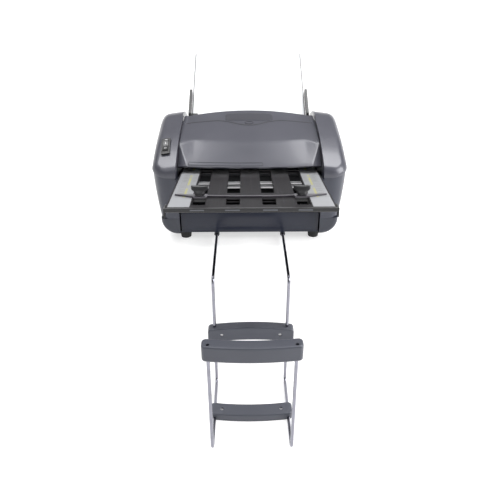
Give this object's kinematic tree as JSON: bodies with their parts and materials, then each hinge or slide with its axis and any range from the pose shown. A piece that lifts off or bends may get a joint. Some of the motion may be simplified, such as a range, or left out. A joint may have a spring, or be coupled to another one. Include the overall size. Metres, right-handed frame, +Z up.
{
  "type": "desktop letter folding machine",
  "caption": "Desktop machine that feeds flat letters from a sloping hopper, folds them between rollers and plates, and drops them in a hanging wire stacker.",
  "frame": {"origin": "centre of the four feet, on the desk top; the stacker hangs below it, over the desk edge", "axes": "+X to the operator's right, +Y to the back of the machine, +Z up; the front faces -Y"},
  "size_m": [0.3262, 0.6436, 0.466],
  "materials": {
    "shell": "charcoal moulded plastic, satin",
    "base": "dark blue-grey moulded plastic",
    "panel": "dark gloss plastic",
    "black": "black moulded plastic",
    "rest": "white sheet",
    "tray": "dark grey paint, satin",
    "steel": "plated sheet steel",
    "wire": "chromed",
    "bars": "charcoal moulded plastic",
    "rubber": "fine ground rubber",
    "roller_rubber": "ground grey rubber",
    "gear": "natural acetal",
    "bronze": "sintered bronze",
    "board": "green board lacquer",
    "pad": "cork and rubber"
  },
  "bodies": {
    "root": {"base_pan": "base", "rubber_feet": "rubber", "front_panel": "panel", "rear_cover": "base", "right_side_cover": "shell", "left_side_cover": "shell", "right_top_cap": "shell", "left_top_cap": "shell", "paper_rest": "rest", "feed_chute": "black", "left_frame": "steel", "right_frame": "steel", "tie_rods": "steel", "bearing_bushes": "bronze", "drive_motor": "steel", "drive_belt": "rubber", "rear_fold_plate": "steel", "switch_bezel": "black", "power_inlet": "black", "control_board": "board"},
    "top_cover": {"top_cover": "shell"},
    "guide_left": {"paper_guide_left": "black"},
    "guide_right": {"paper_guide_right": "black"},
    "guide_pinion": {"guide_pinion": "gear"},
    "separator": {"separator_arm": "steel", "separator_pad": "pad"},
    "roller_1": {"fold_roller_1": "roller_rubber", "fold_shaft_1": "steel", "fold_gear_1": "gear"},
    "roller_2": {"fold_roller_2": "roller_rubber", "fold_shaft_2": "steel", "fold_gear_2": "gear"},
    "roller_3": {"fold_roller_3": "roller_rubber", "fold_shaft_3": "steel", "fold_gear_3": "gear"},
    "roller_4": {"fold_roller_4": "roller_rubber", "fold_shaft_4": "steel", "fold_gear_4": "gear", "roller_pulley": "gear"},
    "idler": {"idler_gear": "gear"},
    "feed_roller": {"feed_tyres": "rubber", "feed_shaft": "steel", "feed_gear": "gear"},
    "motor_rotor": {"motor_pulley": "steel"},
    "fold_tray": {"tray_upper_plate": "tray", "tray_lower_plate": "tray", "tray_cross_bars": "steel", "tray_lip": "black"},
    "fold_stop": {"fold_stop_bar": "black", "stop_clamps": "black"},
    "knob_left": {"clamp_knob_left": "black"},
    "knob_right": {"clamp_knob_right": "black"},
    "rear_stop": {"rear_fold_stop": "black"},
    "rocker": {"switch_rocker": "black"},
    "stacker": {"stacker_wires": "wire", "stacker_back_bar": "bars", "stacker_floor_bar": "bars", "stacker_front_bar": "bars", "stacker_screws": "steel"}
  },
  "joints": [
    {"name": "top_cover_hinge", "type": "hinge", "parent": "root", "child": "top_cover", "pos_m": [0, 0.046, 0.167], "axis": [-1, 0, 0], "range_deg": [0, 55]},
    {"name": "guide_slide", "type": "slide", "parent": "root", "child": "guide_left", "axis": [1, 0, 0], "range_m": [0, 0.032]},
    {"name": "guide_slide_right", "type": "slide", "parent": "root", "child": "guide_right", "axis": [-1, 0, 0], "range_m": [0, 0.032]},
    {"name": "guide_pinion_turn", "type": "hinge", "parent": "root", "child": "guide_pinion", "pos_m": [0, 0.06988, 0.15954], "axis": [0, -0.5, 0.866], "range_deg": [-176.6, 1]},
    {"name": "separator_pivot", "type": "hinge", "parent": "root", "child": "separator", "pos_m": [0, 0, 0.15], "axis": [1, 0, 0], "range_deg": [0, 8], "stiffness_Nm_per_rad": 0.4, "springref_deg": -5.73},
    {"name": "roller_1_spin", "type": "hinge", "parent": "root", "child": "roller_1", "pos_m": [0, -0.01744, 0.13295], "axis": [1, 0, 0], "continuous": true},
    {"name": "roller_2_spin", "type": "hinge", "parent": "root", "child": "roller_2", "pos_m": [0, -0.02167, 0.10285], "axis": [1, 0, 0], "continuous": true},
    {"name": "roller_3_spin", "type": "hinge", "parent": "root", "child": "roller_3", "pos_m": [0, -0.01177, 0.0741], "axis": [1, 0, 0], "continuous": true},
    {"name": "roller_4_spin", "type": "hinge", "parent": "root", "child": "roller_4", "pos_m": [0, -0.016, 0.044], "axis": [1, 0, 0], "continuous": true},
    {"name": "idler_spin", "type": "hinge", "parent": "root", "child": "idler", "pos_m": [0, 0.00829, 0.12191], "axis": [1, 0, 0], "continuous": true},
    {"name": "feed_roller_spin", "type": "hinge", "parent": "root", "child": "feed_roller", "pos_m": [0, 0.03346, 0.12662], "axis": [1, 0, 0], "continuous": true},
    {"name": "motor_spin", "type": "hinge", "parent": "root", "child": "motor_rotor", "pos_m": [0, 0.07, 0.037], "axis": [1, 0, 0], "continuous": true},
    {"name": "fold_tray_slide", "type": "slide", "parent": "root", "child": "fold_tray", "axis": [0, -0.9928, 0.1201], "range_m": [0, 0.06]},
    {"name": "fold_stop_slide", "type": "slide", "parent": "fold_tray", "child": "fold_stop", "axis": [0, 0.9928, -0.1201], "range_m": [-0.028, 0.108]},
    {"name": "knob_left_turn", "type": "hinge", "parent": "fold_stop", "child": "knob_left", "pos_m": [-0.0725, -0.2394, 0.14894], "axis": [0, 0.1201, 0.9928], "range_deg": [-90, 0]},
    {"name": "knob_right_turn", "type": "hinge", "parent": "fold_stop", "child": "knob_right", "pos_m": [0.0725, -0.2394, 0.14894], "axis": [0, 0.1201, 0.9928], "range_deg": [-90, 0]},
    {"name": "rear_stop_slide", "type": "slide", "parent": "root", "child": "rear_stop", "axis": [0, -0.9681, 0.2504], "range_m": [0, 0.052]},
    {"name": "power_switch", "type": "hinge", "parent": "root", "child": "rocker", "pos_m": [-0.14075, -0.06908, 0.15553], "axis": [0.9903, 0, 0.1392], "range_deg": [-8, 8]},
    {"name": "stacker_slide", "type": "slide", "parent": "root", "child": "stacker", "axis": [0, -1, 0], "range_m": [0, 0.045]}
  ],
  "couplings": [
    {"joint": "guide_slide_right", "follows": "guide_slide", "ratio": 1},
    {"joint": "guide_pinion_turn", "follows": "guide_slide", "rad_per_m": -95.238},
    {"joint": "roller_2_spin", "follows": "roller_4_spin", "ratio": 1},
    {"joint": "roller_3_spin", "follows": "roller_4_spin", "ratio": -1},
    {"joint": "roller_1_spin", "follows": "roller_4_spin", "ratio": -1},
    {"joint": "idler_spin", "follows": "roller_4_spin", "ratio": 1.1875},
    {"joint": "feed_roller_spin", "follows": "roller_4_spin", "ratio": -1.1875},
    {"joint": "motor_spin", "follows": "roller_4_spin", "ratio": 2.5}
  ]
}
